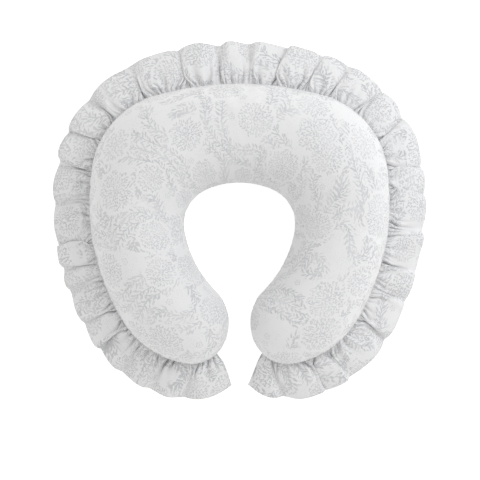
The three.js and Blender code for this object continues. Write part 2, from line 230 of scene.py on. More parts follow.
def cloth_strip(name, points, thick):
    """A thin closed strip on both sides of a grid of points; thick may vary across its rows."""
    columns, rows = points.shape[:2]
    normal = np.cross(np.gradient(points, axis=1), np.gradient(points, axis=0))
    normal /= np.maximum(np.linalg.norm(normal, axis=-1, keepdims=True), 1e-12)
    half = np.broadcast_to(np.asarray(thick) / 2, rows)[None, :, None]
    count = columns * rows
    sheet = grid_faces(columns, rows)
    faces = [sheet, sheet[:, ::-1] + count]
    edges = [column * rows + np.arange(rows) for column in (0, columns - 1)]
    edges += [np.arange(columns) * rows + row for row in (0, rows - 1)]
    for ids in edges:
        faces.append(np.stack([ids[:-1], ids[1:], ids[1:] + count, ids[:-1] + count], -1))
    both = np.concatenate([points + normal * half, points - normal * half]).reshape(-1, 3)
    strip = mesh_object(name, both, np.concatenate(faces))
    face_outward(strip)
    return strip


def thread(name, paths, radius):
    """Fine rods, each along its own row of points, thinner at their ends."""
    paths = np.asarray(paths)
    count, steps = paths.shape[:2]
    along = np.gradient(paths, axis=1)
    along /= np.maximum(np.linalg.norm(along, axis=-1, keepdims=True), 1e-12)
    aside = np.cross(along, [0.31, 0.17, 0.94])
    aside /= np.linalg.norm(aside, axis=-1, keepdims=True)
    upright = np.cross(along, aside)
    thickness = np.ones(steps)
    thickness[[0, -1]] = THREAD_END
    sides = THREAD_SIDES
    angle = np.linspace(0, 2 * math.pi, sides, endpoint=False)[:, None]
    ring = aside[:, :, None] * np.cos(angle) + upright[:, :, None] * np.sin(angle)
    points = paths[:, :, None] + ring * (radius * thickness)[None, :, None, None]
    tube = grid_faces(steps, sides, wrap=True)
    size = steps * sides
    faces = (tube[None] + (np.arange(count) * size)[:, None, None]).reshape(-1, 4).tolist()
    for i in range(count):
        faces.append(list(range(i * size, i * size + sides)))
        faces.append(list(range(i * size + size - sides, i * size + size)))
    rods = mesh_object(name, points.reshape(-1, 3), faces)
    face_outward(rods)
    return rods


def stitches(name, lines, length, gap, radius):
    """A row of stitches along each line; a line is its points and the normals of its cloth."""
    paths = []
    for points, normals in lines:
        run = np.concatenate([[0], np.cumsum(np.linalg.norm(np.diff(points, axis=0), axis=1))])
        starts = np.arange(gap, run[-1] - length - gap, length + gap)
        share = np.linspace(0, 1, 5)
        where = starts[:, None] + length * share
        spot = np.stack([np.interp(where, run, points[:, k]) for k in range(3)], -1)
        lift = np.stack([np.interp(where, run, normals[:, k]) for k in range(3)], -1)
        height = radius * (0.7 - 1.9 * (2 * share - 1) ** 2)
        paths.append(spot + lift * height[None, :, None])
    return thread(name, np.concatenate(paths), radius)


# ------------------------------------------------------------------ zip line

slider_joint, pull_joint = frame["record"]["behaviour"]["joints"][:2]
ZIP_CENTRE = Vector(slider_joint["pos_m"])
ZIP_LEAN = math.acos(-pull_joint["axis"][2])
pull_place = Vector(pull_joint["pos_m"])
PULL_LIFT = (ZIP_CENTRE.z - pull_place.z) / math.sin(ZIP_LEAN)
ZIP_RADIUS = (pull_place - ZIP_CENTRE).xy.length - PULL_LIFT * math.cos(ZIP_LEAN)
_, tape_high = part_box("zip_tape_upper")
ZIP_HALF = ZIP_RADIUS * math.asin(tape_high.x / ZIP_RADIUS)      # half length of the opening
OPENING_HALF = 0.008
WALL_CURVE = 0.066       # radius of the side wall, seen from the end of the zip
WALL_DEPTH = 0.02        # how far in from the zip's arc a point still counts as on the wall


def zip_point(along, up, out):
    """Places beside the zip's middle line: along it, up the wall and out from the wall."""
    along, up, out = np.broadcast_arrays(along, up, out)
    out = out - up ** 2 / (2 * WALL_CURVE)
    radius = ZIP_RADIUS + out * math.cos(ZIP_LEAN) + up * math.sin(ZIP_LEAN)
    return np.stack([
        ZIP_CENTRE.x + radius * np.sin(along / ZIP_RADIUS),
        ZIP_CENTRE.y + radius * np.cos(along / ZIP_RADIUS),
        ZIP_CENTRE.z - out * math.sin(ZIP_LEAN) + up * math.cos(ZIP_LEAN)], -1)


def zip_outward(along):
    turn = np.asarray(along) / ZIP_RADIUS
    return np.stack([
        np.sin(turn) * math.cos(ZIP_LEAN), np.cos(turn) * math.cos(ZIP_LEAN),
        np.full_like(turn, -math.sin(ZIP_LEAN))], -1)


def beside_zip(points, margin):
    """Which points are on the wall round the zip, out to a margin past its opening."""
    x, y = points[:, 0] - ZIP_CENTRE.x, points[:, 1] - ZIP_CENTRE.y
    along = np.arctan2(x, y) * ZIP_RADIUS
    return (np.abs(along) < ZIP_HALF + margin) & (np.hypot(x, y) > ZIP_RADIUS - WALL_DEPTH) & (
        np.abs(points[:, 2] - ZIP_CENTRE.z) < OPENING_HALF + margin)


# ------------------------------------------------------------------ cushion

FORM_INSET = 0.0002
FORM_GRID = (360, 72)    # points along the crescent and round it
PATTERN_GRID = (130, 40)
WELD = 0.0002
VOXEL = 0.006
SEAM_HELD = 0.0035       # half height of the band that stays sewn while the form fills
ZIP_HELD = 0.02
WADDING_DEPTH = 0.0046
CASING_DEPTH = 0.0032
COVER_CLOTH = 0.0008
SEAM_GAP = 0.0006        # half of the gap that the ruffle is sewn into
FLOOR_GAP = 0.0003
CUT_TOLERANCE = 0.00005
CUT_MARGIN = 0.012       # how far past the zip's opening the cloth is searched for its edge

# Puckers beside the outer seam and the inner one: the spacing and the depth of their creases.
OUTER_PUCKER = (0.009, 0.0008)
INNER_PUCKER = (0.014, 0.00025)
PUCKER_REACH = (0.008, 0.026)
PUCKER_BAND = 0.045
PUCKER_END = 0.05
GROOVE_DEPTH, GROOVE_WIDTH = 0.0008, 0.004


def cushion_form(stations, around):
    """The crescent as one closed form, a hair slimmer than the cover."""
    even = np.linspace(-1, 1, stations)
    station = 0.6 * even + 0.4 * np.sin(even * math.pi / 2)
    start, _ = seam_points(station, inset=FORM_INSET)
    end, _ = seam_points(station, inner=True, inset=FORM_INSET)
    middle, along = (start + end) / 2, (end - start) / 2
    half = np.linalg.norm(along, axis=1)
    across = seam_points([WIDEST_STATION])[0] - seam_points([WIDEST_STATION], inner=True)[0]
    roundness = (panel_high.z - panel_low.z) / (np.linalg.norm(across) / 2)
    angle = np.linspace(0, 2 * math.pi, around, endpoint=False)
    plan = middle[:, None] - along[:, None] * np.cos(angle)[None, :, None]
    height = SEAM_Z + roundness * half[:, None] * np.sin(angle)[None]
    height = np.maximum(height, FORM_INSET)
    points = np.concatenate([plan, height[..., None]], -1).reshape(-1, 3)
    form = mesh_object("cushion", points, grid_faces(stations, around, wrap=True))
    work = bmesh.new()
    work.from_mesh(form.data)
    bmesh.ops.remove_doubles(work, verts=work.verts, dist=WELD)
    bmesh.ops.holes_fill(work, edges=work.edges, sides=0)
    bmesh.ops.recalc_face_normals(work, faces=work.faces)
    work.to_mesh(form.data)
    work.free()
    return form


def remesh(obj, voxel):
    change = obj.modifiers.new("voxels", "REMESH")
    change.mode = "VOXEL"
    change.voxel_size = voxel
    change.use_smooth_shade = True
    apply_modifiers(obj)
    relax = obj.modifiers.new("relax", "SMOOTH")
    relax.factor = 0.5
    relax.iterations = 4
    apply_modifiers(obj)


def puff(obj, held, frames, pressure, slack, cap):
    """Blows a cloth form up like a filled pillow, with the held points sewn in place."""
    before = coordinates(obj)
    group = obj.vertex_groups.new(name="sewn")
    group.add([int(i) for i in np.nonzero(held)[0]], 1.0, "REPLACE")
    cloth = obj.modifiers.new("cloth", "CLOTH")
    settings = cloth.settings
    settings.quality = 6
    settings.mass = 0.2
    settings.tension_stiffness = settings.compression_stiffness = 15
    settings.shear_stiffness = 5
    settings.bending_stiffness = 0.2
    settings.shrink_min = -slack
    settings.use_pressure = True
    settings.uniform_pressure_force = pressure
    settings.vertex_group_mass = "sewn"
    settings.effector_weights.gravity = 0
    cloth.collision_settings.use_collision = False
    for number in range(1, frames + 1):
        scene.frame_set(number)
    shaped = obj.evaluated_get(bpy.context.evaluated_depsgraph_get())
    after = coordinates(shaped)
    obj.modifiers.clear()
    obj.vertex_groups.clear()
    scene.frame_set(1)
    move = after - before
    far = np.linalg.norm(move, axis=1, keepdims=True)
    set_coordinates(obj, before + move * np.minimum(1, cap / np.maximum(far, 1e-9)))


def subdivide(obj):
    change = obj.modifiers.new("smooth", "SUBSURF")
    change.levels = change.render_levels = 1
    apply_modifiers(obj)


def seam_tree(inner):
    """The seam line as a search tree, with its running lengths."""
    points, _ = seam_points(np.linspace(-1, 1, 3001), inner=inner)
    steps = np.linalg.norm(np.diff(points, axis=0), axis=1)
    lengths = np.concatenate([[0], np.cumsum(steps)])
    tree = KDTree(len(points))
    for i, (x, y) in enumerate(points):
        tree.insert((x, y, SEAM_Z), i)
    tree.balance()
    return tree, lengths


def pucker(obj):
    """Draws the cloth in along both seams and gathers it in short creases there."""
    points = coordinates(obj)
    normals = normals_of(obj)
    near = (np.abs(points[:, 2] - SEAM_Z) < PUCKER_BAND) & ~beside_zip(points, 0.004)
    for inner, (pitch, depth) in ((False, OUTER_PUCKER), (True, INNER_PUCKER)):
        tree, lengths = seam_tree(inner)
        rng = np.random.default_rng(11 + inner)
        knots = np.cumsum(rng.uniform(0.6, 1.4, int(lengths[-1] / pitch) + 8)) * pitch
        phase_at = np.interp(lengths, knots, np.arange(len(knots))) * 2 * math.pi
        strength = np.interp(lengths, knots, rng.uniform(0.15, 1, len(knots)))
        reach = np.interp(lengths, knots, rng.uniform(*PUCKER_REACH, len(knots)))
        for i in np.nonzero(near)[0]:
            _, nearest, distance = tree.find(points[i])
            if distance > PUCKER_END:
                continue
            fade = math.exp(-(distance / reach[nearest]) ** 2)
            crease = math.cos(phase_at[nearest]) * strength[nearest] * depth * fade
            groove = -GROOVE_DEPTH * math.exp(-(distance / GROOVE_WIDTH) ** 2)
            points[i] += normals[i] * (crease + groove)
    set_coordinates(obj, points)


def settle(obj):
    """Keeps the underside off the floor."""
    points = coordinates(obj)
    points[:, 2] = np.maximum(points[:, 2], FLOOR_GAP)
    set_coordinates(obj, points)


def half_of(form, name, upper, gap=0.0, opened=False):
    """The part of a form above or below the seams, as an open skin."""
    work = bmesh.new()
    work.from_mesh(form.data)
    everything = list(work.verts) + list(work.edges) + list(work.faces)
    level = SEAM_Z + (gap if upper else -gap)
    bmesh.ops.bisect_plane(
        work, geom=everything, dist=CUT_TOLERANCE, plane_co=(0, 0, level),
        plane_no=(0, 0, 1), clear_inner=upper, clear_outer=not upper)
    if opened:
        work.verts.index_update()
        cut_zip_opening(work)
    data = bpy.data.meshes.new(name)
    work.to_mesh(data)
    work.free()
    skin = bpy.data.objects.new(name, data)
    scene.collection.objects.link(skin)
    data.shade_smooth()
    return skin


def flattened(skin):
    """Flattens a skin into the cloth it was cut from: the place of each point on it."""
    bpy.ops.object.select_all(action="DESELECT")
    skin.select_set(True)
    bpy.context.view_layer.objects.active = skin
    skin.data.uv_layers.new(name="cut")
    bpy.ops.object.mode_set(mode="EDIT")
    bpy.ops.mesh.select_all(action="SELECT")
    bpy.ops.uv.unwrap(method="MINIMUM_STRETCH", fill_holes=True, margin=0)
    bpy.ops.object.mode_set(mode="OBJECT")
    corners = np.zeros(len(skin.data.loops) * 2)
    skin.data.uv_layers["cut"].data.foreach_get("uv", corners)
    owners = np.zeros(len(skin.data.loops), int)
    skin.data.loops.foreach_get("vertex_index", owners)
    flat = np.zeros((len(skin.data.vertices), 2))
    flat[owners] = corners.reshape(-1, 2)
    plan = coordinates(skin)[:, :2]
    a, b = flat - flat.mean(0), plan - plan.mean(0)
    u, _, v = np.linalg.svd(a.T @ b)
    # The cloth's own area sets its scale.
    area = sum(face.area for face in skin.data.polygons)
    flat_area = 0.0
    for face in skin.data.polygons:
        x, y = a[list(face.vertices)].T
        flat_area += abs(np.dot(x, np.roll(y, -1)) - np.dot(y, np.roll(x, -1))) / 2
    return a @ (u @ v) * math.sqrt(area / flat_area)


def print_from(pattern, panel):
    """Gives each point of a panel its place on the flat cloth, by way of the coarse pattern."""
    place = flattened(pattern)
    points = [Vector(point) for point in coordinates(pattern)]
    faces = [list(face.vertices) for face in pattern.data.polygons]
    tree = BVHTree.FromPolygons(points, faces)
    cloth = np.zeros((len(panel.data.vertices), 3))
    for i, vertex in enumerate(panel.data.vertices):
        spot, _, index, _ = tree.find_nearest(vertex.co)
        corners = faces[index]
        weights = poly_3d_calc([points[k] for k in corners], spot)
        cloth[i, :2] = np.asarray(weights) @ place[corners]
    store(panel, "cloth", cloth)


def cut_zip_opening(work):
    """Cuts the oblong hole that the zip is set in."""
    inside = beside_zip(np.array([vert.co for vert in work.verts]), CUT_MARGIN)
    faces = [face for face in work.faces if any(inside[vert.index] for vert in face.verts)]
    turn = ZIP_HALF / ZIP_RADIUS
    radial = [(hand * math.cos(turn), -math.sin(turn), 0) for hand in (1, -1)]
    planes = [(ZIP_CENTRE, normal) for normal in radial]
    rises = [Vector((0, 0, hand * OPENING_HALF)) for hand in (1, -1)]
    planes += [(ZIP_CENTRE + rise, (0, 0, 1)) for rise in rises]
    for place, normal in planes:
        edges = {edge for face in faces for edge in face.edges}
        verts = {vert for face in faces for vert in face.verts}
        cut = bmesh.ops.bisect_plane(
            work, geom=[*verts, *edges, *faces], dist=CUT_TOLERANCE, plane_co=place,
            plane_no=normal)
        faces = [item for item in cut["geom"] if isinstance(item, bmesh.types.BMFace)]
    hole = []
    for face in work.faces:
        middle = face.calc_center_median()
        along = math.atan2(middle.x - ZIP_CENTRE.x, middle.y - ZIP_CENTRE.y) * ZIP_RADIUS
        far = (middle - ZIP_CENTRE).xy.length > ZIP_RADIUS - WALL_DEPTH
        if abs(along) < ZIP_HALF and far and abs(middle.z - ZIP_CENTRE.z) < OPENING_HALF:
            hole.append(face)
    bmesh.ops.delete(work, geom=hole, context="FACES")


def give_thickness(skin, thick):
    cloth = skin.modifiers.new("cloth", "SOLIDIFY")
    cloth.thickness = thick
    cloth.offset = -1
    cloth.use_rim = True
    apply_modifiers(skin)


def shrunk(cushion, name, depth):
    """A copy of the cushion that fits inside it."""
    inner = cushion.copy()
    inner.data = cushion.data.copy()
    inner.name = name
    scene.collection.objects.link(inner)
    set_coordinates(inner, coordinates(inner) - normals_of(inner) * depth)
    return inner


def make_cushion():
    """The cover's panels, the insert's casing halves and the wadding, all from one filled form."""
    cushion = cushion_form(*FORM_GRID)
    remesh(cushion, VOXEL)
    points = coordinates(cushion)
    held = (np.abs(points[:, 2] - SEAM_Z) < SEAM_HELD) | beside_zip(points, ZIP_HELD)
    puff(cushion, held, frames=20, pressure=4, slack=0.02, cap=0.012)
    settle(cushion)
    wadding = shrunk(cushion, "fibre_wadding", WADDING_DEPTH)
    casing = shrunk(cushion, "casing", CASING_DEPTH)
    insert = [half_of(casing, "insert_upper", True), half_of(casing, "insert_lower", False)]
    subdivide(cushion)
    pucker(cushion)
    settle(cushion)
    cover = [half_of(cushion, "upper_panel", True, SEAM_GAP),
             half_of(cushion, "lower_panel", False, SEAM_GAP, opened=True)]
    coarse = cushion_form(*PATTERN_GRID)
    for panel, upper in zip(cover, (True, False)):
        pattern = half_of(coarse, "pattern", upper)
        print_from(pattern, panel)
        bpy.data.objects.remove(pattern)
    for skin in cover + insert:
        give_thickness(skin, COVER_CLOTH)
    for form in (cushion, casing, coarse):
        bpy.data.objects.remove(form)
    return cover, insert, wadding


# ------------------------------------------------------------------ ruffle

STRIP_WIDTH = 0.07
FULLNESS = 1.55          # length of the strip over the length of the seam
RUFFLE_REACH = 0.0628
CREST_EXTRA = 0.0085     # how much further it reaches at the crest
RUFFLE_DROOP = 0.02
CREST_DROOP = 0.016
RUFFLE_GRID = (2000, 28)
RUFFLE_CLOTH = 0.0009
HEM_WIDTH = 0.006
HEM_PLIES = 1.7          # thickness of the turned hem over the thickness of the cloth
HEM_STITCH = (0.0026, 0.0011, 0.0002)      # length, gap and radius, as for every stitch
END_SWEEP = 27           # degrees that the ends lean towards each other
ROOT_INSET = 0.005       # how far the ruffle runs in between the panels

# Sets of folds from broad to fine: a seed, and the narrowest and widest fold along the seam.
LAPS = (5, 0.032, 0.07)
WAVES = (15, 0.03, 0.06)
HALF_FOLDS = (8, 0.013, 0.024)
GATHERS = (3, 0.0065, 0.0125)
FINE_GATHERS = (4, 0.0035, 0.006)
LAP_HEIGHT = (0.0016, 0.0084)
LAP_SLANT = 0.016
LAP_SHARE = 0.72         # share of the laps that fall the same way
RIDGE_DEPTH = (0.0012, 0.006)
WAVE_HEIGHT = 0.0028
HALF_HEIGHT, HALF_REACH = 0.0042, 0.5      # a reach is a share of the ruffle's width
GATHER_HEIGHT, GATHER_REACH = 0.0036, (0.2, 0.5)
FINE_HEIGHT, FINE_REACH = 0.0014, 0.16


def smooth_step(values, low, high):
    share = np.clip((values - low) / (high - low), 0, 1)
    return share * share * (3 - 2 * share)


class Folds:
    """A run of folds of random widths along the seam."""

    def __init__(self, seed, narrowest, widest):
        self.rng = np.random.default_rng(seed)
        count = int(2.4 * SEAM_LENGTH / narrowest)
        self.knots = np.cumsum(self.rng.uniform(narrowest, widest, count)) - 1.1 * SEAM_LENGTH

    def phase(self, along):
        return np.interp(along, self.knots, np.arange(len(self.knots))) * 2 * math.pi

    def width(self, along):
        return np.interp(along, self.knots[:-1], np.diff(self.knots))

    def hand(self, share, along):
        """Which way each fold laps over: 1 for that share of the folds and -1 for the rest."""
        ways = np.where(self.rng.uniform(size=len(self.knots)) < share, 1.0, -1.0)
        return np.interp(along, self.knots, ways)

    def vary(self, low, high, along):
        """A value that changes at random from fold to fold."""
        return np.interp(along, self.knots, self.rng.uniform(low, high, len(self.knots)))


def lapped(phase, sharp):
    """A slow fall and a quick rise, steeper as sharp nears 1."""
    return np.arctan2(sharp * np.sin(phase), 1 - sharp * np.cos(phase)) / np.arcsin(sharp)


def gathered(phase, soft=0.0):
    """Round ridges between creases, which are sharp unless softened."""
    return np.sqrt(np.sin(phase / 2) ** 2 + soft ** 2) * 2 - 1.27


def ruffle_surface(columns, rows):
    """Points of the gathered strip, its running length and its share across."""
    station = np.linspace(-1, 1, columns)
    along = (station * SEAM_LENGTH)[:, None]
    share = np.linspace(0, 1, rows) ** 1.3
    v = share[None, :]
    crest = 1 - smooth_step(np.abs(station), 0.08, 0.32)[:, None]

    laps = Folds(*LAPS)
    slant = laps.vary(-LAP_SLANT, LAP_SLANT, along)
    place = along + slant * (1 - v)
    lap = laps.phase(place)
    sharp = 0.94 - 0.59 * smooth_step(v, 0.15, 1)
    height = laps.vary(*LAP_HEIGHT, place) * (0.9 + 0.35 * crest) * laps.hand(LAP_SHARE, place)
    rise = 0.3 * smooth_step(v, 0, 0.07) + 0.7 * smooth_step(v, 0, 0.75)
    tuck = laps.vary(0.3, 1.8, place) * laps.width(place) / (2 * math.pi)
    sway = laps.vary(-0.004, 0.004, place)
    step = lapped(lap, sharp)
    ridge = gathered(lap, 0.04 + 0.14 * v)
    depth = laps.vary(*RIDGE_DEPTH, place)
    waves = Folds(*WAVES)
    wave = np.cos(waves.phase(along)) * waves.vary(0.2, 1, along)

    halves = Folds(*HALF_FOLDS)
    half_place = along + halves.vary(-0.006, 0.006, along) * (1 - v)
    half = gathered(halves.phase(half_place)) * halves.vary(0.2, 1, half_place)
    small = Folds(*GATHERS)
    little = gathered(small.phase(along)) * small.vary(0.35, 1, along)
    fine = Folds(*FINE_GATHERS)
    tiny = gathered(fine.phase(along)) * fine.vary(0.2, 1, along)
    small_reach = small.vary(*GATHER_REACH, along)

    start = smooth_step(v, 0.01, 0.06)
    z = SEAM_Z - (RUFFLE_DROOP + (CREST_DROOP - RUFFLE_DROOP) * crest) * v ** 2
    z = z + rise * (height * step + depth * ridge) + WAVE_HEIGHT * wave * v ** 2
    z = z + HALF_HEIGHT * half * start * np.exp(-(v / HALF_REACH) ** 2)
    z = z + GATHER_HEIGHT * little * start * np.exp(-(v / small_reach) ** 2)
    z = z + FINE_HEIGHT * tiny * start * np.exp(-(v / FINE_REACH) ** 2)
    z = z + 0.0008 * smooth_step(v, 0.02, 0.12)

    shuffle = sway * v - tuck * np.sin(lap) * smooth_step(v, 0.0, 0.3) * (
        1 - 0.55 * smooth_step(v, 0.55, 1))
    scallop = depth * ridge + height * 0.35 * step
    reach = (RUFFLE_REACH + CREST_EXTRA * crest) * v
    reach = reach * (1 + v * scallop * (8 + 8 * crest))
    reach = reach * (1 + 0.015 * v * wave)

    root, out = seam_points(station)
    tucked = ROOT_INSET * (1 - smooth_step(v, 0, 0.06))[..., None] * out[:, None]
    lean = smooth_step(np.abs(station), 0.87, 1) * math.radians(END_SWEEP) * np.sign(station)
    out = np.stack([out[:, 0] * np.cos(lean) - out[:, 1] * np.sin(lean),
                    out[:, 0] * np.sin(lean) + out[:, 1] * np.cos(lean)], -1)
    side = np.stack([out[:, 1], -out[:, 0]], -1)
    plan = root[:, None] + out[:, None] * reach[..., None] + side[:, None] * shuffle[..., None]
    plan = plan - tucked
    return np.concatenate([plan, z[..., None]], -1), along[:, 0], share


def ruffle_pieces():
    """The gathered strip with its turned hem, and the hem's stitches."""
    columns, rows = RUFFLE_GRID
    points, along, share = ruffle_surface(columns, rows)
    in_hem = share * STRIP_WIDTH > STRIP_WIDTH - HEM_WIDTH
    plies = np.where(in_hem, HEM_PLIES, 1.0)
    ruffle = cloth_strip("gathered_ruffle", points, plies * RUFFLE_CLOTH)
    length = np.repeat(along * FULLNESS, rows)
    place = np.stack([length, np.tile(share * STRIP_WIDTH, columns), length * 0], -1)
    store(ruffle, "cloth", np.concatenate([place, place]))
    row = int(np.argmax(in_hem))
    normal = np.cross(np.gradient(points, axis=1), np.gradient(points, axis=0))[:, row]
    normal /= np.linalg.norm(normal, axis=-1, keepdims=True)
    normal *= np.sign(normal[:, 2:].mean())
    line = points[:, row] + normal * RUFFLE_CLOTH * HEM_PLIES / 2
    return ruffle, stitches("hem_stitches", [(line, normal)], *HEM_STITCH)


# ------------------------------------------------------------------ zip and label

TAPE_CLOTH = 0.0006
TAPE_RISE = (0.3, 1.2, 2.4, 3.8, 5.2, 6.2, 7.0, 7.8, 8.8, 10.0, 11.5)     # millimetres
TAPE_EXTRA = 0.003       # how far the tape runs on past each end of the opening
COIL_PITCH = 0.0015
COIL_WIRE = 0.00025
COIL_MIDDLE, COIL_HALF_WIDTH = 0.00115, 0.00145
COIL_HEIGHT, COIL_HALF_DEPTH = 0.00105, 0.0006
TOPSTITCH_MARGIN = 0.0028
TOPSTITCH_EXTRA = 0.002
TOPSTITCH = (0.0025, 0.001, 0.0002)


def zip_tape(name, hand):
    """Half of the zip's tape; its outer edge runs in under the panel."""
    up = np.array(TAPE_RISE) / 1000
    sink = 0.0003 + 0.0014 * smooth_step(up, 0.006, 0.0084)
    along = np.linspace(-ZIP_HALF - TAPE_EXTRA, ZIP_HALF + TAPE_EXTRA, 160)
    points = zip_point(along[:, None], hand * up[None], -sink[None] - TAPE_CLOTH / 2)
    return cloth_strip(name, points, TAPE_CLOTH)


def zip_coil(name, hand, half_length):
    """Half of the coil as one wound wire, whose turns reach between its neighbour's."""
    turns = int(2 * half_length / COIL_PITCH)
    turn = np.linspace(0, turns, turns * 10)
    angle = turn * 2 * math.pi
    along = -half_length + (turn + (0 if hand > 0 else 0.5)) * COIL_PITCH
    up = hand * (COIL_MIDDLE + COIL_HALF_WIDTH * np.cos(angle))
    out = COIL_HEIGHT + COIL_HALF_DEPTH * np.sin(angle)
    return thread(name, [zip_point(along, up, out)], COIL_WIRE)


def zip_pieces():
    _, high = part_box("zip_coil_upper")
    half_length = ZIP_RADIUS * math.asin(high.x / ZIP_RADIUS)
    return {
        "zip_tape_upper": zip_tape("upper_tape", 1),
        "zip_tape_lower": zip_tape("lower_tape", -1),
        "zip_coil_upper": zip_coil("upper_coil", 1, half_length),
        "zip_coil_lower": zip_coil("lower_coil", -1, half_length)}


def surface_of(piece):
    """The piece's surface in a tree for finding places on it."""
    faces = [list(face.vertices) for face in piece.data.polygons]
    return BVHTree.FromPolygons(coordinates(piece).tolist(), faces)


def laid_on(tree, places, directions, lift):
    """Moves places in against the cloth along their directions and holds them off it a little."""
    spots, normals = [], []
    for place, direction in zip(places, directions):
        way = Vector(direction)
        hit, normal, _, _ = tree.ray_cast(Vector(place) + way * 0.03, -way, 0.08)
        normal = way if normal is None or normal.dot(way) < 0 else normal
        spots.append((Vector(place) if hit is None else hit) + normal * lift)
        normals.append(normal)
    return np.array(spots), np.array(normals)


def zip_topstitch(panel_tree):
    """Two rows of stitches round the zip's opening."""
    lines = []
    for hand in (1, -1):
        along = np.linspace(-ZIP_HALF - TOPSTITCH_EXTRA, ZIP_HALF + TOPSTITCH_EXTRA, 200)
        places = zip_point(along, hand * (OPENING_HALF + TOPSTITCH_MARGIN), 0.0)
        lines.append(laid_on(panel_tree, places, zip_outward(along), 0))
    return stitches("zip_topstitch", lines, *TOPSTITCH)


LABEL_SIZE = (0.026, 0.038)
LABEL_CLOTH = 0.0005
LABEL_GRID = (15, 21)
LABEL_DROP = 0.0015      # from the seam to the label's top edge
LABEL_REST = 0.0007      # its middle's height off the panel
LABEL_CURL = 0.0016      # how far its lower edge stands off beyond that
LABEL_STITCH = (0.002, 0.0009, 0.00018)


def label_pieces(panel_tree):
    """The blank label, hanging down the side wall from the outer seam, and its stitches."""
    low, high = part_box("care_label")
    middle = (low + high) / 2
    stations = np.linspace(0, 1, 4001)
    line, out = seam_points(stations)
    nearest = int(np.argmin(np.abs(line[:, 1] - middle.y) + (line[:, 0] < 0.1)))
    centre, outward = line[nearest], out[nearest]
    side = np.array([outward[1], -outward[0]])
    columns, rows = LABEL_GRID
    across = np.linspace(-0.5, 0.5, columns)[:, None] * LABEL_SIZE[0]
    drop = LABEL_DROP + np.linspace(0, 1, rows)[None] * LABEL_SIZE[1]
    plan = centre + side * (across + drop * 0)[..., None]
    places = np.concatenate([plan, (SEAM_Z - drop + across * 0)[..., None]], -1).reshape(-1, 3)
    ways = np.tile([*outward, 0.0], (columns * rows, 1))
    spots, normals = laid_on(panel_tree, places, ways, LABEL_REST)
    lift = smooth_step(np.tile(np.linspace(0, 1, rows), columns), 0.35, 1)[:, None]
    spots = spots + normals * lift * LABEL_CURL
    grid = spots.reshape(columns, rows, 3)
    label = cloth_strip("blank_label", grid, LABEL_CLOTH)
    flat = normals.reshape(columns, rows, 3)
    normal = flat[1:-1, 2]
    line = grid[1:-1, 2] + normal * LABEL_CLOTH / 2
    return label, stitches("label_stitches", [(line, normal)], *LABEL_STITCH)


# ------------------------------------------------------------------ finishes

def operator(operation):
    return lambda self, other: self.maths(operation, other)


class Wire:
    """An output in a finish's nodes. Sums written with it become Math nodes."""

    def __init__(self, finish, socket):
        self.finish, self.socket = finish, socket

    def maths(self, operation, *others):
        return self.finish.maths(operation, self, *others)

    __add__ = __radd__ = operator("ADD")
    __mul__ = __rmul__ = operator("MULTIPLY")
    __sub__ = operator("SUBTRACT")
    __truediv__ = operator("DIVIDE")
    __pow__ = operator("POWER")
    __lt__ = operator("LESS_THAN")
    __gt__ = operator("GREATER_THAN")

    def __rsub__(self, other):
        return self.finish.maths("SUBTRACT", other, self)

    def __abs__(self):
        return self.maths("ABSOLUTE")


class Finish:
    """A material under way."""

    def __init__(self, name):
        self.material = bpy.data.materials.new(name)
        self.material.use_nodes = True
        self.tree = self.material.node_tree
        self.tree.nodes.clear()

    def node(self, kind, settings=None, inputs=(), output=0):
        """Adds a node: its settings first, then its sockets' values or links."""
        made = self.tree.nodes.new(kind)
        for name, value in (settings or {}).items():
            setattr(made, name, value)
        pairs = inputs.items() if isinstance(inputs, dict) else enumerate(inputs)
        for key, value in pairs:
            if isinstance(value, Wire):
                self.tree.links.new(value.socket, made.inputs[key])
            else:
                made.inputs[key].default_value = value
        return Wire(self, made.outputs[output]) if made.outputs else None

    def maths(self, operation, *parts):
        return self.node("ShaderNodeMath", {"operation": operation}, parts)

    def vector(self, operation, *parts, output=0):
        return self.node("ShaderNodeVectorMath", {"operation": operation}, parts, output)

    def scaled(self, vector, factor):
        return self.node("ShaderNodeVectorMath", {"operation": "SCALE"}, {0: vector, 3: factor})

    def split(self, vector):
        return [self.node("ShaderNodeSeparateXYZ", None, (vector,), axis) for axis in (0, 1, 2)]

    def stretch(self, value, low, high, to_low=0.0, to_high=1.0):
        """Maps a range of values smoothly onto another."""
        settings = {"interpolation_type": "SMOOTHSTEP"}
        return self.node("ShaderNodeMapRange", settings, (value, low, high, to_low, to_high))

    def blend(self, factor, first, second):
        settings = {"data_type": "RGBA"}
        return self.node("ShaderNodeMix", settings, {0: factor, 6: first, 7: second}, 2)

    def noise(self, place, scale, detail=0.0, dimensions="3D"):
        inputs = {"Vector": place, "Scale": scale, "Detail": detail}
        return self.node("ShaderNodeTexNoise", {"noise_dimensions": dimensions}, inputs)

    def bump(self, height, strength, distance):
        inputs = {"Strength": strength, "Distance": distance, "Height": height}
        return self.node("ShaderNodeBump", None, inputs)

    def millimetres(self):
        """Where a point is on its own piece, in millimetres."""
        return self.scaled(self.node("ShaderNodeTexCoord", None, (), "Object"), 1000.0)

    def shade(self, **sockets):
        """Ends the finish with its shader."""
        inputs = {name.replace("_", " "): value for name, value in sockets.items()}
        shader = self.node("ShaderNodeBsdfPrincipled", None, inputs)
        self.node("ShaderNodeOutputMaterial", None, (shader,))
        return self.material


def opaque(colour, shade=1.0):
    return (*(channel * shade for channel in colour), 1)


